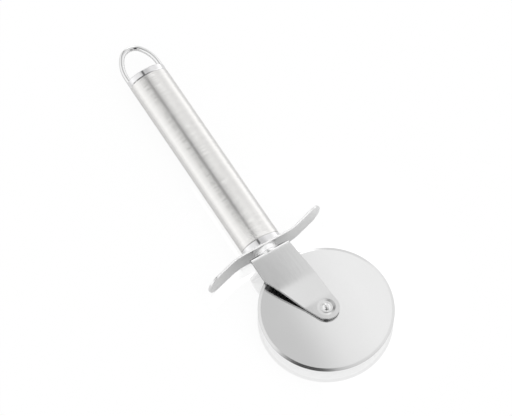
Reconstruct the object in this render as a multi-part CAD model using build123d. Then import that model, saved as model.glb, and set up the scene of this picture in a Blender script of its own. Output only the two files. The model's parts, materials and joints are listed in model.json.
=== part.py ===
from build123d import *

import math
import os

# Pizza cutter wheel, all in stainless steel, lying flat with its wheel level.
# The origin is the inside of the hanging loop's top, where a hook bears, on the handle's axis.
# +X runs down the handle to the wheel, +Z along the wheel's axle, +Y to the side the wheel stands off.

# Wheel
wheel_diameter = 70.0
wheel_thickness = 1.2
wheel_bevel = 1.5
wheel_edge_land = 0.14
wheel_offset = 9.0
wheel_rim_clearance = 2.4

# Bush and washers at the hub
bush_diameter = 8.0
bush_proud = 0.05
running_gap = 0.08
washer_diameter = 10.0
washer_thickness = 0.4

# Two-piece axle rivet
axle_diameter = 5.0
axle_clearance = 0.05
rivet_pin_diameter = 3.2
rivet_pin_reach = 3.0
rivet_head_diameter = 6.4
rivet_head_rim = 0.9
rivet_head_height = 1.7
rivet_foot_height = 1.0
rivet_foot_break = 0.4

# Wheel bracket, folded from sheet: a tab on the screw and one arm over the wheel
bracket_sheet = 1.5
bracket_width = 22.6
bracket_height = 6.2
bracket_fold_radius = 1.6
bracket_hub_radius = 6.85
bracket_straight_edge = 14.7
bracket_edge_radius = 9.0
bracket_slope_start = 20.0
bracket_slope_end = 5.0
bracket_slope_radius = 40.0
bracket_hub_bend_radius = 16.0
dimple_diameter = 9.4
dimple_depth = 0.26
dimple_clearance = 0.1
tab_radius = 6.2
tab_shoulder = 3.4

# Screw that joins bracket, guard and handle
screw_diameter = 4.0
screw_clearance = 0.15
screw_head_diameter = 7.6
screw_head_height = 2.2
screw_head_break = 0.9
screw_socket = 2.5
screw_socket_depth = 1.3
screw_grip = 9.0
lock_washer_diameter = 7.6
lock_washer_thickness = 0.9
lock_washer_split = 0.8
spacer_diameter = 12.2
spacer_thickness = 3.0

# Finger guard, an S-shaped strip
guard_thickness = 1.2
guard_width = 12.8
guard_flat = 25.0
guard_bend_radius = 32.0
guard_bend_angle = 16.0
guard_reach = 36.8
guard_edge_break = 0.2

# Oval handle tube and its two plugs
handle_width = 22.2
handle_thickness = 13.2
handle_wall = 0.8
handle_length = 113.5
neck_band = 3.5
neck_spigot = 12.0
cap_band = 3.9
cap_spigot = 9.0
spigot_clearance = 0.05
edge_break = 0.25
cap_edge_break = 0.6
cap_seam_break = 0.5

# Hanging loop of round wire
loop_wire = 2.8
loop_eye = 16.1
loop_straight = 2.7
loop_top_radius = 7.2
loop_groove_clearance = 0.05

# Overrun of every cutting shape past the face it cuts
overrun = 1.0

# Stations along the handle's axis
cap_end = loop_eye
tube_start = cap_end + cap_band
tube_end = tube_start + handle_length
guard_back = tube_end + neck_band
guard_front = guard_back + guard_thickness
tab_back = guard_front + spacer_thickness
tab_front = tab_back + bracket_sheet
screw_head_end = tab_front + lock_washer_thickness + screw_head_height
wheel_x = screw_head_end + wheel_rim_clearance + wheel_diameter / 2

# Levels along the axle, measured from the wheel's middle plane
wheel_face = wheel_thickness / 2
bush_face = wheel_face + bush_proud
washer_inner = bush_face + running_gap
washer_outer = washer_inner + washer_thickness
pad_top = washer_outer + bracket_sheet
rivet_seat = pad_top - dimple_depth

hub = Pos(wheel_x, wheel_offset, 0)


# Helpers

def disc(radius, low, high):
    """A round disc about the axle, between two levels."""
    return Pos(0, 0, low) * extrude(Circle(radius), high - low)


def rod(radius, start, end):
    """A round bar along the handle's axis, between two stations."""
    return Pos(start, 0, 0) * extrude(Plane.YZ * Circle(radius), end - start)


def oval_bar(width, thickness, start, end):
    """An oval bar along the handle's axis, wide along Y and flat along Z."""
    return Pos(start, 0, 0) * extrude(Plane.YZ * Ellipse(width / 2, thickness / 2), end - start)


def end_edges(solid, station):
    """The edges of a bar that lie at one station along the handle."""
    return solid.edges().filter_by_position(Axis.X, station, station)


# Handle tube

def handle_tube():
    """Oval tube with a broken edge at each rim."""
    outer = oval_bar(handle_width, handle_thickness, tube_start, tube_end)
    outer = chamfer(end_edges(outer, tube_start) + end_edges(outer, tube_end), edge_break)
    bore_width = handle_width - 2 * handle_wall
    bore_thickness = handle_thickness - 2 * handle_wall
    return outer - oval_bar(bore_width, bore_thickness, tube_start - overrun, tube_end + overrun)


def spigot(start, end):
    """The part of a plug that sits inside the tube."""
    shrink = 2 * (handle_wall + spigot_clearance)
    return oval_bar(handle_width - shrink, handle_thickness - shrink, start, end)


# Plug at the neck, tapped for the screw

def neck_plug():
    """Polished oval band between tube and guard, with a tapped spigot inside the tube."""
    band = oval_bar(handle_width, handle_thickness, tube_end, guard_back)
    band = chamfer(end_edges(band, tube_end), edge_break)
    plug = band + spigot(tube_end - neck_spigot, tube_end)
    depth = screw_grip + overrun
    return plug - rod(screw_diameter / 2, guard_back - depth, guard_back + overrun)


# Cap at the loop end

def loop_leg_offset():
    """Distance of a leg's centre from the handle's axis: its outside is flush with the tube."""
    return (handle_width - loop_wire) / 2


def leg_channel(side):
    """Channel for one leg of the loop, round at its bottom and open to the side."""
    width = loop_wire + 2 * loop_groove_clearance
    middle = side * (loop_leg_offset() + overrun)
    slot = Plane.YZ * Pos(middle, 0) * SlotCenterToCenter(2 * overrun, width)
    return Pos(cap_end - overrun, 0, 0) * extrude(slot, cap_band + 2 * overrun)


def end_cap():
    """Polished oval cap with a channel down each side for the loop's legs."""
    band = oval_bar(handle_width, handle_thickness, cap_end, tube_start)
    band = chamfer(end_edges(band, tube_start), cap_seam_break)
    band = chamfer(end_edges(band, cap_end), cap_edge_break)
    band -= leg_channel(-1) + leg_channel(1)
    return band + spigot(tube_start, tube_start + cap_spigot)


# Hanging loop

def loop_side_radius():
    """Radius of the arch's flanks: tangent to the straight legs and to the top arc."""
    half, rise = loop_leg_offset(), loop_arch_rise()
    top = loop_top_radius
    return (half ** 2 + (rise - top) ** 2 - top ** 2) / (2 * (half - top))


def loop_arch_rise():
    """Height of the arch's centre line above the straight legs."""
    return loop_eye + loop_wire / 2 - loop_straight


def hanging_loop():
    """Round wire bent to a three-centred arch, its legs flush with the sides of the tube."""
    half, side, top = loop_leg_offset(), loop_side_radius(), loop_top_radius
    spring = cap_end - loop_straight
    crown = -loop_wire / 2 + top
    turn = math.degrees(math.atan2(spring - crown, side - half))
    right_leg = Line((tube_start, half), (spring, half))
    right_flank = CenterArc((spring, half - side), side, 90, turn)
    head = CenterArc((crown, 0), top, 90 + turn, 180 - 2 * turn)
    left_flank = CenterArc((spring, side - half), side, 270 - turn, turn)
    left_leg = Line((spring, -half), (tube_start, -half))
    path = Wire([right_leg, right_flank, head, left_flank, left_leg])
    section = Plane(origin=(tube_start, half, 0), z_dir=(-1, 0, 0)) * Circle(loop_wire / 2)
    return sweep(section, path=path)


# Finger guard

def finger_guard():
    """Strip with a flat middle and two wings that bend opposite ways, with round tips."""
    middle = guard_back + guard_thickness / 2
    half_flat, angle = guard_flat / 2, math.radians(guard_bend_angle)
    lines = [Line((middle, -half_flat), (middle, half_flat))]
    for side in (-1, 1):
        # The wing on the +Y side bends back to the handle, the other on to the wheel.
        centre = Vector(middle - side * guard_bend_radius, side * half_flat)
        start_angle = 0 if side > 0 else 180
        bend = CenterArc(centre, guard_bend_radius, start_angle, guard_bend_angle)
        end = bend @ 1
        straight = (guard_reach - side * end.Y) / math.cos(angle)
        tip = end + Vector(-side * math.sin(angle), side * math.cos(angle)) * straight
        lines += [bend, Line(end, tip)]
    strip = extrude(trace(Curve(lines), guard_thickness), guard_width / 2, both=True)
    outline = Plane.YZ * SlotOverall(2 * guard_reach, guard_width)
    strip &= Pos(middle, 0, 0) * extrude(outline, guard_reach, both=True)
    strip -= rod(screw_diameter / 2 + screw_clearance, guard_back - overrun, guard_front + overrun)
    return chamfer(strip.edges(), guard_edge_break)


# Spacer between guard and bracket

def spacer():
    """Round spacer ring on the screw."""
    ring = rod(spacer_diameter / 2, guard_front, tab_back)
    return ring - rod(screw_diameter / 2 + screw_clearance, guard_front - overrun, tab_back + overrun)


# Wheel bracket

def bracket_section():
    """Side view of the arm: top of the tab, fold, level run, slope and level hub pad."""
    level = bracket_height - bracket_sheet / 2
    pad_level = (washer_outer + pad_top) / 2
    path = FilletPolyline(
        (tab_back + bracket_sheet / 2, tab_shoulder),
        (tab_back + bracket_sheet / 2, level),
        (wheel_x - bracket_slope_start, level),
        (wheel_x - bracket_slope_end, pad_level),
        (wheel_x + bracket_hub_radius + overrun, pad_level),
        radius=(bracket_fold_radius, bracket_slope_radius, bracket_hub_bend_radius),
    )
    return trace(path, bracket_sheet)


def bracket_outline():
    """The arm seen along the axle: as wide as the handle, tapering to a round hub pad."""
    left, right = -bracket_width / 2, bracket_width / 2
    corner = tab_back + bracket_straight_edge
    edges = [
        Line((tab_back, right), (tab_back, left)),
        Line((tab_back, left), (corner, left)),
        Edge.make_circle(bracket_hub_radius, Plane((wheel_x, wheel_offset))),
    ]
    outline = make_hull(edges)
    bend = outline.vertices().sort_by_distance((corner, left))[0]
    return fillet(bend, bracket_edge_radius)


def bracket_tab():
    """Tab that narrows from the fold to a round end about the screw."""
    edges = [
        Line((-bracket_width / 2, tab_shoulder), (bracket_width / 2, tab_shoulder)),
        Edge.make_circle(tab_radius),
    ]
    return Pos(tab_back, 0, 0) * extrude(Plane.YZ * make_hull(edges), bracket_sheet)


def rivet_dimple():
    """Shallow dish that the riveting presses into the hub pad, flat under the rivet's head."""
    inner, outer = rivet_head_diameter / 2 + dimple_clearance, dimple_diameter / 2
    profile = Polyline(
        (0, rivet_seat),
        (inner, rivet_seat),
        (outer, pad_top),
        (outer, pad_top + overrun),
        (0, pad_top + overrun),
        close=True,
    )
    return hub * revolve(Plane.XZ * make_face(profile), Axis.Z)


def wheel_bracket():
    """Sheet folded to an L: its arm leans to the wheel's side and comes down on the hub."""
    arm = extrude(Plane.XZ * bracket_section(), bracket_width + 2 * wheel_offset, both=True)
    arm &= extrude(bracket_outline(), 2 * bracket_height)
    body = arm + bracket_tab()
    body -= rod(screw_diameter / 2 + screw_clearance, tab_back - overrun, tab_front + overrun)
    body -= rivet_dimple()
    return body - hub * disc(axle_diameter / 2 + axle_clearance, 0, pad_top + overrun)


# Lock washer and screw in front of the tab

def lock_washer():
    """Split spring ring under the screw's head."""
    end = tab_front + lock_washer_thickness
    ring = rod(lock_washer_diameter / 2, tab_front, end)
    ring -= rod(screw_diameter / 2 + screw_clearance, tab_front - overrun, end + overrun)
    slit = Box(2 * lock_washer_thickness + bracket_sheet, lock_washer_split, lock_washer_diameter)
    return ring - Pos(tab_front, 0, lock_washer_diameter / 2) * slit


def bracket_screw():
    """Low-headed screw with a hexagon socket; it grips the neck plug."""
    seat = tab_front + lock_washer_thickness
    head = rod(screw_head_diameter / 2, seat, seat + screw_head_height)
    head = chamfer(end_edges(head, seat + screw_head_height), screw_head_break)
    flats = RegularPolygon(screw_socket / 2, 6, major_radius=False)
    socket_floor = seat + screw_head_height - screw_socket_depth
    head -= Pos(socket_floor, 0, 0) * extrude(Plane.YZ * flats, screw_socket_depth + overrun)
    return head + rod(screw_diameter / 2 - spigot_clearance, guard_back - screw_grip, seat)


# Wheel and bush

def cutting_wheel():
    """Thin disc ground to a sharp edge from both faces."""
    radius, inner = wheel_diameter / 2, bush_diameter / 2
    profile = Polyline(
        (inner, -wheel_face),
        (radius - wheel_bevel, -wheel_face),
        (radius, -wheel_edge_land / 2),
        (radius, wheel_edge_land / 2),
        (radius - wheel_bevel, wheel_face),
        (inner, wheel_face),
        close=True,
    )
    return hub * revolve(Plane.XZ * make_face(profile), Axis.Z)


def hub_bush():
    """Plain bush pressed into the wheel, turning on the axle."""
    ring = disc(bush_diameter / 2, -bush_face, bush_face)
    bore = disc(axle_diameter / 2 + axle_clearance, -bush_face - overrun, bush_face + overrun)
    return hub * (ring - bore)


def washer(side):
    """Washer beside the bush: above it under the bracket, below it on the rivet's head."""
    ring = disc(washer_diameter / 2, washer_inner, washer_outer)
    ring -= disc(axle_diameter / 2 + axle_clearance, washer_inner - overrun, washer_outer + overrun)
    return hub * (ring if side > 0 else mirror(ring, Plane.XY))


# Axle rivet

def rivet_head():
    """Domed head on an upright rim, standing on the zero level."""
    radius, rise = rivet_head_diameter / 2, rivet_head_height - rivet_head_rim
    ball = (radius ** 2 + rise ** 2) / (2 * rise)
    return disc(radius, 0, rivet_head_height) & Pos(0, 0, rivet_head_height - ball) * Sphere(ball)


def axle_sleeve():
    """Hollow half of the rivet: its head bears on the bracket, and the bush turns on its barrel."""
    body = disc(axle_diameter / 2, -washer_outer, rivet_seat) + Pos(0, 0, rivet_seat) * rivet_head()
    bore_end = rivet_pin_reach + overrun / 2 - washer_outer
    return hub * (body - disc(rivet_pin_diameter / 2, -washer_outer - overrun, bore_end))


def axle_pin():
    """Solid half of the rivet, pressed into the sleeve from below, with a flat head."""
    foot_level = -washer_outer - rivet_foot_height
    foot = disc(rivet_head_diameter / 2, foot_level, -washer_outer)
    foot = chamfer(foot.edges().filter_by_position(Axis.Z, foot_level, foot_level), rivet_foot_break)
    radius = rivet_pin_diameter / 2 - spigot_clearance
    return hub * (foot + disc(radius, -washer_outer, rivet_pin_reach - washer_outer))


parts = {
    "handle_tube": handle_tube(),
    "neck_plug": neck_plug(),
    "end_cap": end_cap(),
    "hanging_loop": hanging_loop(),
    "finger_guard": finger_guard(),
    "spacer": spacer(),
    "wheel_bracket": wheel_bracket(),
    "lock_washer": lock_washer(),
    "bracket_screw": bracket_screw(),
    "cutting_wheel": cutting_wheel(),
    "hub_bush": hub_bush(),
    "washer_upper": washer(1),
    "washer_lower": washer(-1),
    "axle_sleeve": axle_sleeve(),
    "axle_pin": axle_pin(),
}

os.makedirs("parts", exist_ok=True)
for name, shape in parts.items():
    export_step(shape, os.path.join("parts", name + ".step"))
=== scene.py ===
# %% [markdown]
# # A pizza cutter wheel in polished and satin steel
# The tool is all metal: an oval tube handle with a wire loop, a finger guard, a bracket with one arm
# and a cutting wheel. Metal has almost no colour of its own, so nearly all of its look is what it
# reflects. The lesson therefore sets up the light with as much care as the finishes.

# %% Load the tool
import json
import math

import bmesh
import bpy
import numpy as np
from mathutils import Matrix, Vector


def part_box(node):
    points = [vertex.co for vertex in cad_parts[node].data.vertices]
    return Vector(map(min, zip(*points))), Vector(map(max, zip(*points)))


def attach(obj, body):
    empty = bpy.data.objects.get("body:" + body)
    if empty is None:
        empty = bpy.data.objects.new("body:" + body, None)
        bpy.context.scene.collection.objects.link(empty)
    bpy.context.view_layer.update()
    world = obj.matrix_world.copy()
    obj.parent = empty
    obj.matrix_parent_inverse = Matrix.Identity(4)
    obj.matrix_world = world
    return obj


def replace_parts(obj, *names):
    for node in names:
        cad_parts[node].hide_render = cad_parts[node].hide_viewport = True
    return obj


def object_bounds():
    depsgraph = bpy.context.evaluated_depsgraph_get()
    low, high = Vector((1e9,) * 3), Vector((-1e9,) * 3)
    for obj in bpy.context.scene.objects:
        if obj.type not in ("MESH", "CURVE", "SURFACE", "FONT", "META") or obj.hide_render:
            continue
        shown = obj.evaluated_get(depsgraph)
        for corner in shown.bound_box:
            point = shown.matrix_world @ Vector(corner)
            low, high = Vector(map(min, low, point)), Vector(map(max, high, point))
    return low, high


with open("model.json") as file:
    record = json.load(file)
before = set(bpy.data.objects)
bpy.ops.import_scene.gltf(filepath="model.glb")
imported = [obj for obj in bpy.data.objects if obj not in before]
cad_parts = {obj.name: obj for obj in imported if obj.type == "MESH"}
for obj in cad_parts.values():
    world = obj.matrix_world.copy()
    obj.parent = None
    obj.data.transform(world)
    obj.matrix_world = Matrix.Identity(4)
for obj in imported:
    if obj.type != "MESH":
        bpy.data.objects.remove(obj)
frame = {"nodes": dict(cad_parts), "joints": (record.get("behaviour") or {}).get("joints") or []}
cad_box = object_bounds()
nodes = frame["nodes"]
print("pieces:", sorted(nodes))
print("size in mm:", [round(1000 * (high - low), 1) for low, high in zip(*cad_box)])

# %% [markdown]
# ## Places taken from the tool
# The handle runs along X, and the wheel turns about a vertical axle. Finishes that follow the wheel
# need its centre, and the floor must touch the tool's lowest point, so both are read from the tool.

# %% Wheel centre and floor level
wheel_joint = frame["joints"][0]
wheel_centre = np.array(wheel_joint["pos_m"])
floor_level = cad_box[0].z
print("wheel centre:", wheel_centre, "floor:", round(floor_level, 5))

# %% [markdown]
# ## Camera
# A long lens from well away keeps the handle's sides nearly parallel, as a catalogue picture does.
# The camera is placed by what it must show: its height above the table, its turn about the handle,
# its distance, and the spot in the picture where the wheel's centre falls.

# %% Camera
picture_width, picture_height = 512, 416
sensor_width = 36.0
view_height = math.radians(62.54)
view_turn = math.radians(58.02)
view_roll = math.radians(-0.637)
view_distance = 1.5
pixels_per_metre = 1960.6
wheel_pixel = (326.249, 309.003)


def camera_axes():
    """Right, up and backward directions of the camera, from its turn, its height and its roll."""
    right = np.array([math.cos(view_turn), math.sin(view_turn), 0.0])
    away = np.array([-math.sin(view_turn), math.cos(view_turn), 0.0])
    rise = np.array([0.0, 0.0, 1.0])
    up = away * math.sin(view_height) + rise * math.cos(view_height)
    back = -away * math.cos(view_height) + rise * math.sin(view_height)
    rolled_right = math.cos(view_roll) * right - math.sin(view_roll) * up
    rolled_up = math.sin(view_roll) * right + math.cos(view_roll) * up
    return rolled_right, rolled_up, back


def add_camera():
    """A camera whose picture shows the wheel's centre at its chosen pixel."""
    right, up, back = camera_axes()
    across = (wheel_pixel[0] - picture_width / 2) / pixels_per_metre
    above = (picture_height / 2 - wheel_pixel[1]) / pixels_per_metre
    place = wheel_centre - across * right - above * up + view_distance * back
    data = bpy.data.cameras.new("camera")
    data.sensor_width = sensor_width
    data.lens = sensor_width * view_distance * pixels_per_metre / picture_width
    camera = bpy.data.objects.new("camera", data)
    turn = Matrix(np.column_stack([right, up, back]).tolist()).to_4x4()
    camera.matrix_world = Matrix.Translation(place.tolist()) @ turn
    bpy.context.scene.collection.objects.link(camera)
    bpy.context.scene.camera = camera
    return camera


camera = add_camera()
print("lens in mm:", round(camera.data.lens, 1), "place:", [round(v, 3) for v in camera.location])

# %% [markdown]
# ## Shader maths as plain expressions
# A node tree is easier to read when its maths looks like maths. `Socket` wraps one node output, and
# `+`, `-`, `*` and `/` on it add Math nodes, also where a plain number comes first, as in 1 - mask.

# %% Sockets
class Socket:
    """One node output that can be added, subtracted, multiplied and divided."""

    def __init__(self, material, output):
        self.material = material
        self.output = output

    def maths(self, operation, *others):
        """A Math node on this output and, where the operation needs one, another value."""
        return self.material.node("Math", {"operation": operation}, self, *others)

    def __add__(self, other):
        return self.maths("ADD", other)

    def __sub__(self, other):
        return self.maths("SUBTRACT", other)

    def __mul__(self, other):
        return self.maths("MULTIPLY", other)

    def __truediv__(self, other):
        return self.maths("DIVIDE", other)

    def __rsub__(self, other):
        return self.material.node("Math", {"operation": "SUBTRACT"}, other, self)

    def __rtruediv__(self, other):
        return self.material.node("Math", {"operation": "DIVIDE"}, other, self)

    __radd__, __rmul__ = __add__, __mul__

    def part(self, name):
        """Another output of the same node."""
        return Socket(self.material, self.output.node.outputs[name])

    def smooth_step(self, start, end):
        """0 below start, 1 above end, and a smooth rise between them."""
        settings = {"interpolation_type": "SMOOTHSTEP"}
        return self.material.node("MapRange", settings, Value=self, **{"From Min": start, "From Max": end})


# %% [markdown]
# ## Nodes by type
# One method adds every node, from its type, its settings, and the values or links of its inputs, which
# are given in order or by name. The stops of a colour ramp count as a setting. The tent and the
# finishes below are then short functions that hold only their own choices.

# %% Materials
class Material:
    """A material or a world whose nodes are added by type."""

    def __init__(self, owner):
        owner.use_nodes = True
        self.owner = owner
        self.tree = owner.node_tree
        self.tree.nodes.clear()

    def node(self, kind, settings=None, *inputs, **named):
        """Adds a ShaderNode of this kind: settings, then inputs in order, then inputs by name."""
        node = self.tree.nodes.new("ShaderNode" + kind)
        for name, value in (settings or {}).items():
            if name == "stops":
                self.set_stops(node.color_ramp, value)
            else:
                setattr(node, name, value)
        pairs = list(zip(node.inputs, inputs)) + [(node.inputs[name], value) for name, value in named.items()]
        for socket, value in pairs:
            if isinstance(value, Socket):
                self.tree.links.new(value.output, socket)
            else:
                socket.default_value = value
        return Socket(self, node.outputs[0]) if node.outputs else node

    def set_stops(self, ramp, stops):
        """Gives a colour ramp its stops, each a position and a grey level."""
        while len(ramp.elements) < len(stops):
            ramp.elements.new(1.0)
        for element, (position, level) in zip(ramp.elements, stops):
            element.position = position
            element.color = (level, level, level, 1.0)


def new_material(name):
    """An empty material with that name."""
    return Material(bpy.data.materials.new(name))


def give(material, *piece_names):
    """Puts the material on these pieces' own slots."""
    for name in piece_names:
        slots = nodes[name].data.materials
        slots.clear()
        slots.append(material.owner)
    print(material.owner.name, "on", ", ".join(piece_names))


# %% [markdown]
# ## Tent
# Polished steel shows the room, so the room is part of the finish. The real tool was shot in a soft
# white tent with bright walls low on both sides and a dimmer top. Such a tent could be built from
# sheets and lamps. Here it is the world, seen by reflections only and given by direction, because
# every point of a small tool then sees the same tent. The walls are light levels at angles about the
# handle, in degrees from straight up, with the left side below zero.

# %% Tent walls
tent_walls = [
    (-100, 0.86),
    (-78, 1.10),
    (-60, 1.28),
    (-32, 1.05),
    (-14, 0.97),
    (-4, 0.72),
    (6, 0.67),
    (16, 0.70),
    (32, 0.98),
    (52, 0.99),
    (64, 1.20),
    (80, 1.44),
    (96, 1.16),
]
print("wall levels:", len(tent_walls), "brightest:", max(level for _, level in tent_walls))

# %% [markdown]
# ## Dark and bright parts of the tent
# Steel looks like steel because of what is dark in the room. The lens looks through a dark opening high
# in front, a narrow slit runs back from it above the handle, and a dark band hangs low in front of the
# wheel. Two patches add light, one near the top and one at the far end behind the loop. Every part is a
# mask on the direction, so it needs no model of its own.

# %% Dark and bright parts
slit_angle, slit_half, slit_fade, slit_depth = 1.0, 1.5, 5.8, 0.73
slit_end = (-0.3, 0.1)
band_middle = (0.93, -0.37)
band_bottom, band_top, band_sides, band_depth = (0.27, 0.36), (0.44, 0.72), (0.50, 0.74), 0.97
# Each patch: its middle and its reach as X and Y of a direction, its turn, its full core, its strength.
dark_patches = [
    ((0.55, -0.34), (0.48, 0.22), -32.0, 0.5, 0.95),
    ((0.05, -0.22), (0.38, 0.24), 42.0, 0.3, 0.96),
    ((-0.68, 0.60), (0.30, 0.14), 41.0, 0.45, 0.16),
]
bright_patches = [
    ((0.10, 0.22), (0.28, 0.30), 0.0, 0.45, 0.44),
    ((-1.00, 0.30), (0.55, 0.22), 0.0, 0.45, 0.65),
]


def studio_patch(axes, spot, reach, turn, core):
    """1 at a direction and 0 outside an oval about it: a smooth step of its distance over its reach."""
    lean, rise = math.cos(math.radians(turn)), math.sin(math.radians(turn))
    x, y = axes.part("X") - spot[0], axes.part("Y") - spot[1]
    across = (x * lean + y * rise) / reach[0]
    along = (y * lean - x * rise) / reach[1]
    distance = (across * across + along * along).maths("SQRT")
    return 1.0 - distance.smooth_step(core, 1.0)


def tent_shade(axes, around):
    """The share of light that is left at a direction, after the slit, the dark patches and the band."""
    slit = 1.0 - (around - slit_angle).maths("ABSOLUTE").smooth_step(slit_half, slit_fade)
    shade = 1.0 - slit * (1.0 - axes.part("X").smooth_step(*slit_end)) * slit_depth
    for *oval, depth in dark_patches:
        shade = shade * (1.0 - studio_patch(axes, *oval) * depth)
    toward = axes.part("X") * band_middle[0] + axes.part("Y") * band_middle[1]
    height = axes.part("Z")
    between = height.smooth_step(*band_bottom) * (1.0 - height.smooth_step(*band_top))
    return shade * (1.0 - between * toward.smooth_step(*band_sides) * band_depth)


print("dark patches:", len(dark_patches), "bright patches:", len(bright_patches))

# %% [markdown]
# ## World
# Three kinds of rays reach the world, and each gets its own answer. The camera sees plain white, and
# diffuse light is plain too, only a little stronger from the side where the tent is brightest.
# Reflections alone see the tent. A ramp holds no level above 1, so the walls' levels are scaled down in
# it, and the strength scales them up again.

# %% World
white_light = (1.0, 1.0, 1.0, 1.0)
tent_scale = 1.5
diffuse_level = 0.90
diffuse_lean = 0.30


def add_world():
    """White for the camera, plain for diffuse light, and the tent for reflections."""
    world = bpy.data.worlds.new("studio")
    bpy.context.scene.world = world
    paint = Material(world)
    rays = paint.node("LightPath")
    axes = paint.node("SeparateXYZ", None, paint.node("TexCoord").part("Generated"))
    around = axes.part("Y").maths("ARCTAN2", axes.part("Z")) * (180 / math.pi)
    stops = [(angle / 360 + 0.5, level / tent_scale) for angle, level in tent_walls]
    walls = paint.node("ValToRGB", {"stops": stops}, around / 360 + 0.5)
    shade = tent_shade(axes, around)
    glow = sum(studio_patch(axes, *oval) * level for *oval, level in bright_patches)
    tent = paint.node("Background", None, walls, shade * tent_scale)
    lamp = paint.node("Background", None, white_light, glow * shade)
    studio = paint.node("AddShader", None, tent, lamp)
    camera_ray = rays.part("Is Camera Ray")
    plain = axes.part("Y") * (diffuse_lean * diffuse_level) + diffuse_level
    open_air = paint.node("Background", None, white_light, plain * (1.0 - camera_ray) + camera_ray)
    seen = paint.node("MixShader", None, rays.part("Is Glossy Ray"), open_air, studio)
    paint.node("OutputWorld", None, seen)
    return paint


print("world nodes:", len(add_world().tree.nodes))

# %% [markdown]
# ## Softbox over the wheel
# The wheel is flat, so a far tent would give it one even grey. The real one turns from grey to white
# across its face, because a lamp close above it ends over its near half. A panel of light does the
# same. Only reflections see it, and its near edge fades, as the edge of a cloth diffuser does. It is
# laid out over the wheel and then moved up along the line on which the wheel mirrors the lens.

# %% Panels that only reflections see
def add_mesh(name, corners, faces):
    """A mesh object in the scene, from its corners and faces."""
    mesh = bpy.data.meshes.new(name)
    mesh.from_pydata(corners, [], faces)
    thing = bpy.data.objects.new(name, mesh)
    bpy.context.scene.collection.objects.link(thing)
    return thing


def hide_from_all_but_reflections(panel):
    """Leaves a panel visible to glossy rays only."""
    for kind in ("camera", "diffuse", "shadow", "volume_scatter", "transmission"):
        setattr(panel, "visible_" + kind, False)


# %% Softbox
softbox_height = 0.12
softbox_level = 1.07
# Each fade: where it starts and ends across the wheel, and its share of the light.
softbox_fades = [(-0.015, 0.012, 0.72), (0.004, 0.036, 0.24)]
softbox_start, softbox_end = 0.1405, 0.245
softbox_edge = 0.003
softbox_lean, softbox_lean_start = 0.11, 0.172
softbox_reach = 0.045
to_lens = camera_axes()[2]
mirror_shift = -to_lens[:2] / to_lens[2]


def softbox_cloth(shift_x, shift_y):
    """Light that fades in two steps across the wheel, and quickly at the panel's ends."""
    paint = new_material("softbox_cloth")
    axes = paint.node("SeparateXYZ", None, paint.node("TexCoord").part("Object"))
    across = axes.part("X") - shift_x
    inward = axes.part("Y") - shift_y + (across - softbox_lean_start) * softbox_lean
    fade = sum(inward.smooth_step(start, end) * share for start, end, share in softbox_fades)
    fade = fade * across.smooth_step(softbox_start, softbox_start + softbox_edge)
    fade = fade * (1.0 - across.smooth_step(softbox_end - softbox_edge, softbox_end))
    clear = paint.node("BsdfTransparent")
    light = paint.node("Emission", None, white_light, softbox_level)
    paint.node("OutputMaterial", None, paint.node("MixShader", None, fade, clear, light))
    return paint


def add_softbox():
    """A level panel, moved along the line from the wheel to the lens's mirror image."""
    shift_x, shift_y = softbox_height * mirror_shift
    low_x, high_x = softbox_start + shift_x, softbox_end + shift_x
    low_y, high_y = softbox_fades[0][0] + shift_y, wheel_centre[1] + softbox_reach + shift_y
    corners = [(low_x, low_y), (high_x, low_y), (high_x, high_y), (low_x, high_y)]
    panel = add_mesh("softbox", [(x, y, softbox_height) for x, y in corners], [(3, 2, 1, 0)])
    hide_from_all_but_reflections(panel)
    panel.data.materials.append(softbox_cloth(shift_x, shift_y).owner)
    return panel


print("softbox size in mm:", [round(1000 * side) for side in add_softbox().dimensions[:2]])

# %% [markdown]
# ## Floor
# The real tool was laid on a glossy white sheet that prints as pure white, with only a faint mirror
# image of the tool under it. The camera therefore sees white light, mixed with a little reflection
# and a little real shade. The white's level is worked out so that the three add up to 1. The
# reflection is kept to a soft disc round the wheel and the guard, the only place where it shows, so
# that the rest of the sheet stays clean from every side.

# %% Floor
floor_half = 3.0
floor_shine = 0.34
floor_shine_middle, floor_shine_full, floor_shine_end = (0.165, 0.004), 0.066, 0.090
floor_shade = 0.10
floor_gloss_roughness = 0.02
floor_mirror_angles = (11.0, 19.0)
floor_paper = 0.93
floor_glow_share = 0.15


def white_sheet(mirrored):
    """Light, reflection and shade in shares that add up to white; mirrored is the tent's level there."""
    paint = new_material("white_sheet")
    rays = paint.node("LightPath")
    camera_ray = rays.part("Is Camera Ray")
    mirrored_ray = rays.part("Is Glossy Ray").maths("MAXIMUM", rays.part("Is Transmission Ray"))
    axes = paint.node("SeparateXYZ", None, paint.node("TexCoord").part("Object"))
    x, y = axes.part("X") - floor_shine_middle[0], axes.part("Y") - floor_shine_middle[1]
    away = (x * x + y * y).maths("SQRT")
    shine = (1.0 - away.smooth_step(floor_shine_full, floor_shine_end)) * floor_shine
    rest = 1.0 - shine - floor_shade
    white = (1.0 - shine * mirrored - floor_shade * floor_paper * diffuse_level) / rest
    light = paint.node("Emission", None, white_light, camera_ray * (white - 1.0) + 1.0)
    paper = paint.node("BsdfDiffuse", None, (floor_paper, floor_paper, floor_paper, 1.0))
    share = camera_ray * (rest / (1.0 - shine)) + mirrored_ray * floor_glow_share
    sheet = paint.node("MixShader", None, share, paper, light)
    gloss = paint.node("BsdfGlossy", None, white_light, floor_gloss_roughness)
    shown = paint.node("MixShader", None, camera_ray * shine, sheet, gloss)
    paint.node("OutputMaterial", None, shown)
    return paint


def add_floor():
    """A square sheet at the tool's lowest point; it returns the tent's level that the sheet mirrors."""
    half = floor_half
    corners = [(-half, -half), (half, -half), (half, half), (-half, half)]
    floor = add_mesh("floor", [(x, y, floor_level) for x, y in corners], [(0, 1, 2, 3)])
    mirrored = np.interp(floor_mirror_angles, *zip(*tent_walls)).min()
    floor.data.materials.append(white_sheet(mirrored).owner)
    return mirrored


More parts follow.
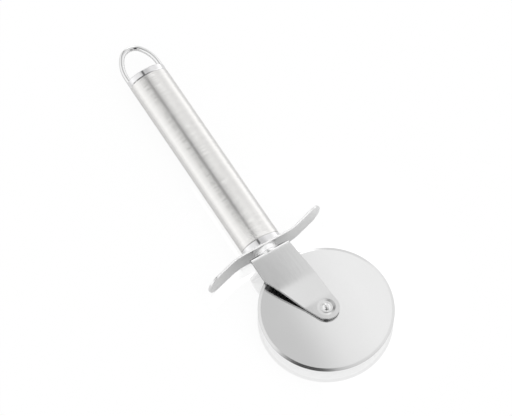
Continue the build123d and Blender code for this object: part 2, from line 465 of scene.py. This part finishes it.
print("level that the floor mirrors:", round(add_floor(), 3))

# %% [markdown]
# ## Surfaces worked out on a grid
# A turned piece is a profile carried round its axle, and a strip is a flat outline with a rounded edge
# that is then bent. Both are grids of points: each row is a ring, and neighbouring rings are joined
# by quads. Whole rings are worked out at once, so the shape is its formula.

# %% Rings joined by quads
merge_distance = 1e-7


def add_rings(points, name, body):
    """Quads between rings of points (rings, around, 3): each ring is closed, and poles are merged."""
    rings, around = points.shape[:2]
    start = np.arange(rings - 1)[:, None] * around
    here, beside = start + np.arange(around), start + (np.arange(around) + 1) % around
    faces = np.stack([here, beside, beside + around, here + around], axis=-1).reshape(-1, 4)
    piece = add_mesh(name, points.reshape(-1, 3).tolist(), faces.tolist())
    mesh = piece.data
    build = bmesh.new()
    build.from_mesh(mesh)
    bmesh.ops.remove_doubles(build, verts=build.verts, dist=merge_distance)
    bmesh.ops.recalc_face_normals(build, faces=build.faces)
    build.to_mesh(mesh)
    build.free()
    mesh.polygons.foreach_set("use_smooth", np.ones(len(mesh.polygons), dtype=bool))
    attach(piece, body)
    nodes[name] = piece
    print(name, "faces:", len(mesh.polygons))
    return piece


# %% [markdown]
# ## Soft corners
# No real edge is perfectly sharp, and an edge is seen by the thin line of light that its rounding
# catches. Each corner of a profile therefore becomes an arc. One more point on the flat, just before
# and after the arc, keeps smooth shading from bending the flat as well.

# %% Profiles with soft corners
corner_steps = 6
support_share = 0.5


def soft_corner(before, corner, after, radius):
    """Points at even angles on the arc that touches both sides, between one point on each side."""
    arrive, leave = before - corner, after - corner
    arrive, leave = arrive / np.linalg.norm(arrive), leave / np.linalg.norm(leave)
    half_angle = math.acos(np.clip(arrive @ leave, -1, 1)) / 2
    inward = (arrive + leave) / np.linalg.norm(arrive + leave)
    centre = corner + inward * radius / math.sin(half_angle)
    start = corner + arrive * radius / math.tan(half_angle) - centre
    end = corner + leave * radius / math.tan(half_angle) - centre
    share, sweep = np.linspace(0.0, 1.0, corner_steps + 1)[:, None], math.pi - 2 * half_angle
    arc = (np.sin((1 - share) * sweep) * start + np.sin(share * sweep) * end) / math.sin(sweep)
    support = support_share * radius
    return np.vstack([centre + start + arrive * support, centre + arc, centre + end + leave * support])


def rounded_profile(corners, radii):
    """A closed profile: each corner becomes its arc, and the last point is the first one again."""
    corners = np.array(corners)
    arcs = [soft_corner(corners[index - 1], corners[index], corners[(index + 1) % len(corners)], radius)
            for index, radius in enumerate(radii)]
    return np.vstack([*arcs, arcs[0][:1]])


def lathe(profile, steps):
    """Rings about the axle: a profile point (r, z) becomes (cx + r cos t, cy + r sin t, cz + z)."""
    angle = np.linspace(0.0, 2 * math.pi, steps, endpoint=False)
    radius, level = profile[:, :1], profile[:, 1:]
    x = wheel_centre[0] + radius * np.cos(angle)
    y = wheel_centre[1] + radius * np.sin(angle)
    return np.stack([x, y, np.broadcast_to(level + wheel_centre[2], x.shape)], axis=-1)


# %% [markdown]
# ## Finger guard
# The guard is a strip with a round tip at each end, tumbled until every edge is round. The strip as
# loaded has broken edges, so a grid takes its place. It is first bent as the real one was: its centre
# line is flat in the middle, then an arc each way, then straight, and the two wings bend opposite ways.

# %% Guard's centre line
guard_low, guard_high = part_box("finger_guard")
guard_sheet = 0.0012
guard_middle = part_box("spacer")[0].x - guard_sheet / 2
guard_flat_half = 0.0125
guard_bend_radius = 0.032
guard_bend_angle = math.radians(16.0)
guard_tip_margin = 0.00012


def guard_bend(along, stand):
    """A point so far along the centre line and so far off it: flat, then an arc, then straight, each way."""
    side, distance = np.sign(along), np.abs(along)
    turned = np.clip((distance - guard_flat_half) / guard_bend_radius, 0.0, guard_bend_angle)
    straight = np.maximum(distance - guard_flat_half - guard_bend_radius * guard_bend_angle, 0.0)
    across = np.minimum(distance, guard_flat_half) + guard_bend_radius * np.sin(turned)
    across = across + straight * np.cos(turned)
    back = guard_bend_radius * (1 - np.cos(turned)) + straight * np.sin(turned)
    return guard_middle - side * back + stand * np.cos(turned), side * across + stand * np.sin(turned)


def guard_tip():
    """Length along the centre line from the middle to a tip."""
    arc_end = guard_flat_half + guard_bend_radius * math.sin(guard_bend_angle)
    straight = (guard_high.y - guard_tip_margin - arc_end) / math.cos(guard_bend_angle)
    return guard_flat_half + guard_bend_radius * guard_bend_angle + straight


print("guard's flat length in mm:", round(2000 * guard_tip(), 1))

# %% [markdown]
# ## Guard as rings
# The strip's outline is a stadium. Rings run from the screw's hole out to the rim, round the rim's arc
# and back to the hole on the other side, so one grid holds both faces, the rim and the hole's wall.

# %% Guard's outline and rings
guard_edge_radius = 0.00016
guard_hole_radius = 0.00215
guard_tip_steps, guard_side_steps = 24, 80
guard_face_rings, guard_rim_steps = 28, 7


def guard_outline(inset):
    """A stadium moved inwards by inset: half circles at the tips and straight sides between them."""
    half_width = (guard_high.z - guard_low.z) / 2
    core = guard_tip() - half_width
    turn = np.linspace(-math.pi / 2, math.pi / 2, guard_tip_steps)
    side = np.linspace(core, -core, guard_side_steps)[1:-1]
    straight = np.ones_like(side)
    centre = np.concatenate([np.full(guard_tip_steps, core), side, np.full(guard_tip_steps, -core), -side])
    push_along = np.concatenate([np.cos(turn), 0 * side, -np.cos(turn), 0 * side])
    push_up = np.concatenate([np.sin(turn), straight, -np.sin(turn), -straight])
    reach = half_width - inset
    return centre + reach * push_along, reach * push_up


def guard_rings():
    """Front rings from the hole to the rim's arc, the arc, and the same again on the back."""
    half = guard_sheet / 2
    arc = np.linspace(0.0, math.pi / 2, guard_rim_steps)
    rim_inset = guard_edge_radius * (1 - np.sin(arc))
    rim_stand = half - guard_edge_radius * (1 - np.cos(arc))
    shares = np.linspace(0.0, 1.0, guard_face_rings)
    along, up = guard_outline((1 + support_share) * guard_edge_radius)
    to_hole = guard_hole_radius / np.hypot(along, up)
    front = [(along * (to_hole * (1 - t) + t), up * (to_hole * (1 - t) + t), half) for t in shares]
    front += [(*guard_outline(inset), stand) for inset, stand in zip(rim_inset, rim_stand)]
    front.append((*guard_outline(0.0), half - (1 + support_share) * guard_edge_radius))
    back = [(along, up, -stand) for along, up, stand in front[::-1]]
    along, up, stand = (np.array([np.broadcast_to(ring[i], along.shape) for ring in front + back + front[:1]])
                        for i in range(3))
    x, y = guard_bend(along, stand)
    return np.stack([x, y, up], axis=-1)


guard_points = guard_rings()
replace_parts(add_rings(guard_points, "guard_strip", "handle"), "finger_guard")
print("guard spans in mm:", np.round(1000 * np.ptp(guard_points.reshape(-1, 3), axis=0), 1))

# %% [markdown]
# ## Strip light over the guard
# The guard's upper edge shows as one white line. An edge this thin can only mirror a thin light, so
# the studio gets a strip with the guard's own S shape. It hangs where a level mirror at the guard's
# upper edge shows it to the lens: as far beyond the edge as the lens is before it, scaled by height.

# %% Strip light
strip_height = 0.04
strip_sides = (-0.0001, 0.0030)
strip_level = 2.0
strip_steps = 60


def mirrored_to_camera(points, height):
    """Where the camera's ray to each point lands at a height, after a level mirror at the point."""
    eye = np.array(camera.location)
    rise = (height - points[:, 2:]) / (eye[2] - points[:, 2:])
    return np.hstack([points[:, :2] + (points[:, :2] - eye[:2]) * rise, np.full((len(points), 1), height)])


def add_strip_light():
    """A ribbon: two lines beside the guard's centre line, carried up to the strip's height."""
    along = np.linspace(-guard_tip(), guard_tip(), strip_steps)
    sides = [np.stack([*guard_bend(along, stand), np.full(strip_steps, guard_high.z)], axis=-1)
             for stand in strip_sides]
    points = np.vstack([mirrored_to_camera(side, strip_height) for side in sides])
    start = np.arange(strip_steps - 1)
    faces = np.stack([start, start + strip_steps, start + strip_steps + 1, start + 1], axis=-1)
    strip = add_mesh("strip_light", points.tolist(), faces.tolist())
    hide_from_all_but_reflections(strip)
    paint = new_material("strip_cloth")
    paint.node("OutputMaterial", None, paint.node("Emission", None, white_light, strip_level))
    strip.data.materials.append(paint.owner)
    return strip


print("strip light faces:", len(add_strip_light().data.polygons))

# %% [markdown]
# ## Wheel
# The wheel is a disc with a ground edge, turned about the axle, so it is one profile carried round.
# Its arcs take the place of sharp corners: a wide one where the grinding meets the face, which catches
# a thin bright ring, and small ones at the edge's land and at the bore.

# %% Wheel
wheel_radius, wheel_bore = 0.035, 0.004
wheel_face, wheel_land, wheel_grind = 0.0006, 0.00007, 0.0015
bore_soft, grind_soft, land_soft = 0.00005, 0.0002, 0.00003
wheel_steps = 192
wheel_profile = rounded_profile([
    (wheel_bore, wheel_face),
    (wheel_radius - wheel_grind, wheel_face),
    (wheel_radius, wheel_land),
    (wheel_radius, -wheel_land),
    (wheel_radius - wheel_grind, -wheel_face),
    (wheel_bore, -wheel_face),
], (bore_soft, grind_soft, land_soft, land_soft, grind_soft, bore_soft))
wheel_points = lathe(wheel_profile, wheel_steps)
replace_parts(add_rings(wheel_points, "wheel_disc", "wheel"), "cutting_wheel")

# %% [markdown]
# ## Rivet
# The rivet's hollow half has a domed head on a thin flange, as a press leaves it. The dome is part of a
# ball, worked out from the width of its base and its rise. The profile runs from the middle of the dome
# out over the flange, down the barrel, up the bore that takes the pin, and back to the axle's line.

# %% Rivet
sleeve_low, sleeve_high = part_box("axle_sleeve")
flange_radius, flange_height, flange_soft = 0.0032, 0.0003, 0.00012
dome_base, dome_rise, dome_foot_soft = 0.00245, 0.0014, 0.00004
barrel_radius, sleeve_bore, pin_room = 0.0025, 0.0016, 0.0035
dome_steps, sleeve_steps = 28, 96
head_seat = sleeve_high.z - dome_rise - flange_height
dome_ball = (dome_base ** 2 + dome_rise ** 2) / (2 * dome_rise)
dome_slope = np.linspace(0.0, math.asin(dome_base / dome_ball), dome_steps)
dome_level = sleeve_high.z - dome_ball * (1 - np.cos(dome_slope))
dome = np.stack([dome_ball * np.sin(dome_slope), dome_level], axis=-1)
head_corners = np.array([
    dome[-2],
    dome[-1],
    (flange_radius, head_seat + flange_height),
    (flange_radius, head_seat),
    (barrel_radius, head_seat),
])
rim = np.vstack([soft_corner(*head_corners[index:index + 3], radius)
                 for index, radius in enumerate((dome_foot_soft, flange_soft, flange_soft))])
barrel = np.array([
    (barrel_radius, head_seat),
    (barrel_radius, sleeve_low.z),
    (sleeve_bore, sleeve_low.z),
    (sleeve_bore, sleeve_low.z + pin_room),
    (0.0, sleeve_low.z + pin_room),
])
sleeve_points = lathe(np.vstack([dome[:-2], rim, barrel]), sleeve_steps)
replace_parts(add_rings(sleeve_points, "rivet_sleeve", "handle"), "axle_sleeve")

# %% [markdown]
# ## Steel finishes
# Nearly all pieces are stainless steel and differ only in how they were finished. Each finish is a
# function that builds its steel from a grey, a roughness and a few marks, which are noises. A mark's
# lean tilts the normal, its tone changes the grey, and its rough changes the roughness. Grooves finer
# than a pixel stretch a reflection across them, which is what makes steel look brushed.

# %% Steel
plain_steel = (1.0, 1.0, 1.0)
edge_samples = 6


def place_of(paint):
    """The piece's own position."""
    return paint.node("TexCoord").part("Object")


def stretched_noise(paint, place, scales, detail=2.0):
    """Noise from -0.5 to 0.5, with its own fineness along each axis, in marks a metre."""
    mapped = paint.node("VectorMath", {"operation": "MULTIPLY"}, place, scales)
    noise = paint.node("TexNoise", {"noise_dimensions": "3D"}, Vector=mapped, Scale=1.0, Detail=detail)
    return noise - 0.5


def even_noise(paint, place, fineness, detail=2.0):
    """The same noise, equally fine along all axes."""
    return stretched_noise(paint, place, (fineness, fineness, fineness), detail)


def tilt(paint, normal, direction, amount):
    """The normal leaned along a direction by an amount that changes over the surface."""
    lean = paint.node("VectorMath", {"operation": "SCALE"}, direction, Scale=amount)
    leaned = paint.node("VectorMath", {"operation": "ADD"}, normal, lean)
    return paint.node("VectorMath", {"operation": "NORMALIZE"}, leaned)


def soft_edges(paint, radius):
    """The normal with every edge rounded to this radius."""
    return paint.node("Bevel", {"samples": edge_samples}, Radius=radius)


def grey_colour(paint, grey, tint, change):
    """A grey times a tint, made lighter or darker by a small change."""
    colour = tuple(grey * value for value in tint)
    return paint.node("VectorMath", {"operation": "SCALE"}, colour, Scale=change + 1.0)


def finish(paint, colour, roughness, normal):
    """Joins colour, roughness and normal to a bare metal surface."""
    surface = paint.node("BsdfPrincipled", None, **{
        "Base Color": colour, "Metallic": 1.0, "Roughness": roughness, "Normal": normal})
    paint.node("OutputMaterial", None, surface)
    return paint


# %% [markdown]
# ## Satin tube
# The tube is brushed round and round on a belt, so its grooves run round the handle. They spread each
# reflection along the handle only. Two noises make the grooves: one finer than a pixel for the sheen,
# and one coarse enough to see, broken up along its length as belt marks are.

# %% Satin tube
warm_steel = (1.0, 0.99, 0.975)
handle_axis = (1.0, 0.0, 0.0)
groove_fine, groove_coarse = (20000.0, 45.0, 45.0), (2400.0, 30.0, 30.0)
groove_tone, groove_rough = 0.14, 0.15
belt_cloud, belt_cloud_tone, belt_cloud_rough = 70.0, 0.04, 0.10


def brushed_round(name, grey, roughness, tint, fine_lean, coarse_lean, edge):
    """Steel with grooves round the handle's axis."""
    paint = new_material(name)
    place = place_of(paint)
    fine = stretched_noise(paint, place, groove_fine)
    coarse = stretched_noise(paint, place, groove_coarse)
    cloud = even_noise(paint, place, belt_cloud)
    normal = tilt(paint, soft_edges(paint, edge), handle_axis, fine * fine_lean + coarse * coarse_lean)
    colour = grey_colour(paint, grey, tint, coarse * groove_tone + cloud * belt_cloud_tone)
    return finish(paint, colour, cloud * belt_cloud_rough + coarse * groove_rough + roughness, normal)


give(brushed_round("satin_tube", grey=0.77, roughness=0.20, tint=warm_steel,
                   fine_lean=1.7, coarse_lean=0.08, edge=0.0003), "handle_tube")
# The spacer's grey of 0.97 is lighter than any other steel here. This is painted light, which brightens the
# spacer where it sits in shade between the guard and the bracket.
give(brushed_round("turned_spacer_painted_light", grey=0.97, roughness=0.50, tint=plain_steel,
                   fine_lean=0.10, coarse_lean=0.06, edge=0.0004), "spacer")

# %% [markdown]
# ## Mirror bands and wire
# The two bands and the loop are buffed to a mirror. Buffing leaves hairlines too fine to count and a
# very slight waviness, so reflections stay sharp but are never ruled lines.

# %% Mirror steel
cool_steel = (0.995, 0.992, 1.0)
buffing_lean = (1.0, 0.6, 0.0)
wave_fineness, wave_lean, wave_tone, wave_rough = 260.0, 0.012, 0.03, 0.03
hairline_scales = (500.0, 6000.0, 6000.0)
hairline_lean, hairline_tone, hairline_rough = 0.015, 0.05, 0.03


def mirror_steel(name, grey, roughness, edge, tint):
    """Buffed steel with rounded edges, a slight waviness and faint hairlines."""
    paint = new_material(name)
    place = place_of(paint)
    wave = even_noise(paint, place, wave_fineness, detail=1.0)
    hairline = stretched_noise(paint, place, hairline_scales)
    normal = tilt(paint, soft_edges(paint, edge), buffing_lean, wave * wave_lean + hairline * hairline_lean)
    colour = grey_colour(paint, grey, tint, hairline * hairline_tone + wave * wave_tone)
    return finish(paint, colour, wave * wave_rough + hairline * hairline_rough + roughness, normal)


give(mirror_steel("polished_bands", grey=0.79, roughness=0.05, edge=0.00012, tint=cool_steel),
     "neck_plug", "end_cap")
give(mirror_steel("polished_wire", grey=0.77, roughness=0.06, edge=0.0001, tint=plain_steel), "hanging_loop")

# %% [markdown]
# ## Brushed sheet
# The guard and the bracket keep the fine straight grain of rolled and brushed sheet. Its grooves are
# finer than a pixel, so they soften reflections across them. The sheet's cut edges come dull from the
# press. The bracket's cut edges are also painted darker than its faces, which is painted shade for the
# dark lines along them. A point counts as cut edge by its normal, which there looks away from the axis
# that the faces look along.

# %% Guard and bracket
sheet_lean = (0.7, 0.7, 0.3)
grain_tone, grain_rough = 0.06, 0.06
sheet_cloud, sheet_cloud_tone, sheet_cloud_rough = 90.0, 0.04, 0.06
speck_fineness, speck_lean = 4000.0, 0.02
cut_facing, cut_rough = (0.3, 0.75), 0.12


def brushed_sheet(name, grey, roughness, grain_scales, grain_lean, edge, face_axis, cut_edge_shade):
    """Steel with a straight grain, whose cut edges are duller, and painted darker as painted shade by the
    given depth.
    """
    paint = new_material(name)
    place = place_of(paint)
    grain = stretched_noise(paint, place, grain_scales)
    cloud = even_noise(paint, place, sheet_cloud)
    speck = even_noise(paint, place, speck_fineness, detail=1.0)
    soft = soft_edges(paint, edge)
    facing = paint.node("SeparateXYZ", None, soft).part(face_axis)
    cut = 1.0 - facing.maths("ABSOLUTE").smooth_step(*cut_facing)
    normal = tilt(paint, soft, sheet_lean, grain * grain_lean + speck * speck_lean)
    # Painted shade: cut edges are darkened by the given depth, for the dark lines along the bracket's edges.
    change = grain * grain_tone + cloud * sheet_cloud_tone - cut * cut_edge_shade
    rough = cloud * sheet_cloud_rough + grain * grain_rough + cut * cut_rough + roughness
    return finish(paint, grey_colour(paint, grey, plain_steel, change), rough, normal)


give(brushed_sheet("guard_steel", grey=0.80, roughness=0.13, grain_scales=(2500.0, 120.0, 2500.0),
                   grain_lean=0.05, edge=0.0001, face_axis="X", cut_edge_shade=0.0), "guard_strip")
give(brushed_sheet("bracket_steel", grey=0.665, roughness=0.16, grain_scales=(120.0, 2500.0, 400.0),
                   grain_lean=0.06, edge=0.00035, face_axis="Z", cut_edge_shade=0.25), "wheel_bracket")

# %% [markdown]
# ## Turned steel
# The wheel was ground while it turned, so its faint marks are rings. The shader measures the distance
# from the axle and uses it for the noise, with the direction added slowly, so that a ring fades in and
# out on its way round. Distance and direction are taken from the wheel's own middle. The ground band at
# the edge is duller than the face. Its underside is painted darker still, as painted shade, so that the
# floor's mirror image shows a thin dark ring.

# %% Wheel and rivet steel
ring_drift = 1.6
ring_tone, ring_rough = 0.05, 0.05
wheel_cloud, wheel_cloud_tone, wheel_cloud_rough = 60.0, 0.03, 0.04
scratch_scales, scratch_range = (300.0, 5000.0, 300.0), (0.18, 0.30)
scratch_tone, scratch_rough = 0.02, 0.08
ground_fade, ground_tone, ground_rough = 0.0001, 0.05, 0.03
# Painted shade on the ground band's underside: its fade and its depth.
underside_shade_fade, underside_shade_tone = 0.0002, 0.45


def turned_steel(name, grey, roughness, ring_fineness, ring_lean, edge, ground_start):
    """Steel with rings about the axle, and a duller ground band outside ground_start with painted shade on
    its underside.
    """
    paint = new_material(name)
    place = place_of(paint)
    from_axle = paint.node("VectorMath", {"operation": "SUBTRACT"}, place, tuple(wheel_centre))
    axes = paint.node("SeparateXYZ", None, from_axle)
    radius = (axes.part("X") * axes.part("X") + axes.part("Y") * axes.part("Y")).maths("SQRT")
    direction = paint.node("VectorMath", {"operation": "SCALE"}, from_axle, Scale=1.0 / radius)
    slow = paint.node("VectorMath", {"operation": "SCALE"}, direction, Scale=ring_drift)
    spread = paint.node("CombineXYZ", None, radius * ring_fineness, axes.part("Z") * ring_fineness, 0.0)
    ring = even_noise(paint, paint.node("VectorMath", {"operation": "ADD"}, slow, spread), 1.0)
    cloud = even_noise(paint, place, wheel_cloud)
    scratch = stretched_noise(paint, place, scratch_scales, detail=1.0).smooth_step(*scratch_range)
    ground = radius.smooth_step(ground_start - ground_fade, ground_start + ground_fade)
    # Painted shade: the ground band is darkened on its underside, for the floor's mirror image.
    underside_shade = 1.0 - axes.part("Z").smooth_step(-underside_shade_fade, underside_shade_fade)
    normal = tilt(paint, soft_edges(paint, edge), direction, ring * ring_lean)
    change = ring * ring_tone + cloud * wheel_cloud_tone - scratch * scratch_tone
    change = change - ground * ground_tone - ground * underside_shade * underside_shade_tone
    rough = ring * ring_rough + cloud * wheel_cloud_rough + ground * ground_rough
    rough = rough + scratch * scratch_rough + roughness
    return finish(paint, grey_colour(paint, grey, plain_steel, change), rough, normal)


give(turned_steel("wheel_steel", grey=0.79, roughness=0.11, ring_fineness=3500.0, ring_lean=0.03,
                  edge=0.00003, ground_start=0.0336), "wheel_disc")
give(turned_steel("rivet_steel", grey=0.74, roughness=0.20, ring_fineness=5000.0, ring_lean=0.06,
                  edge=0.00005, ground_start=0.0100), "rivet_sleeve", "axle_pin")

# %% [markdown]
# ## Small parts
# Screw, lock washer and hub washers are plain hardware: duller, a little darker, and uneven where the
# forging or the press left it. The bush is bronze, which is what keeps a steel wheel turning freely.

# %% Small parts
fastener_colour, bronze_colour = (0.60, 0.60, 0.61), (0.58, 0.42, 0.23)
dent_fineness, dent_detail = 900.0, 3.0
dent_direction, dent_lean, dent_tone, dent_rough = (0.6, 0.6, 0.5), 0.08, 0.12, 0.2


def plain_metal(name, colour, roughness, edge):
    """Uneven metal with softened edges."""
    paint = new_material(name)
    dent = even_noise(paint, place_of(paint), dent_fineness, dent_detail)
    normal = tilt(paint, soft_edges(paint, edge), dent_direction, dent * dent_lean)
    uneven = grey_colour(paint, 1.0, colour, dent * dent_tone)
    return finish(paint, uneven, dent * dent_rough + roughness, normal)


give(plain_metal("fastener_steel", fastener_colour, roughness=0.28, edge=0.00015),
     "bracket_screw", "lock_washer", "washer_upper", "washer_lower")
give(plain_metal("bush_bronze", bronze_colour, roughness=0.35, edge=0.0001), "hub_bush")

# %% [markdown]
# ## Colour
# The view transform stays at Standard, so that a colour prints as it is written.

# %% Colour
bpy.context.scene.view_settings.view_transform = "Standard"
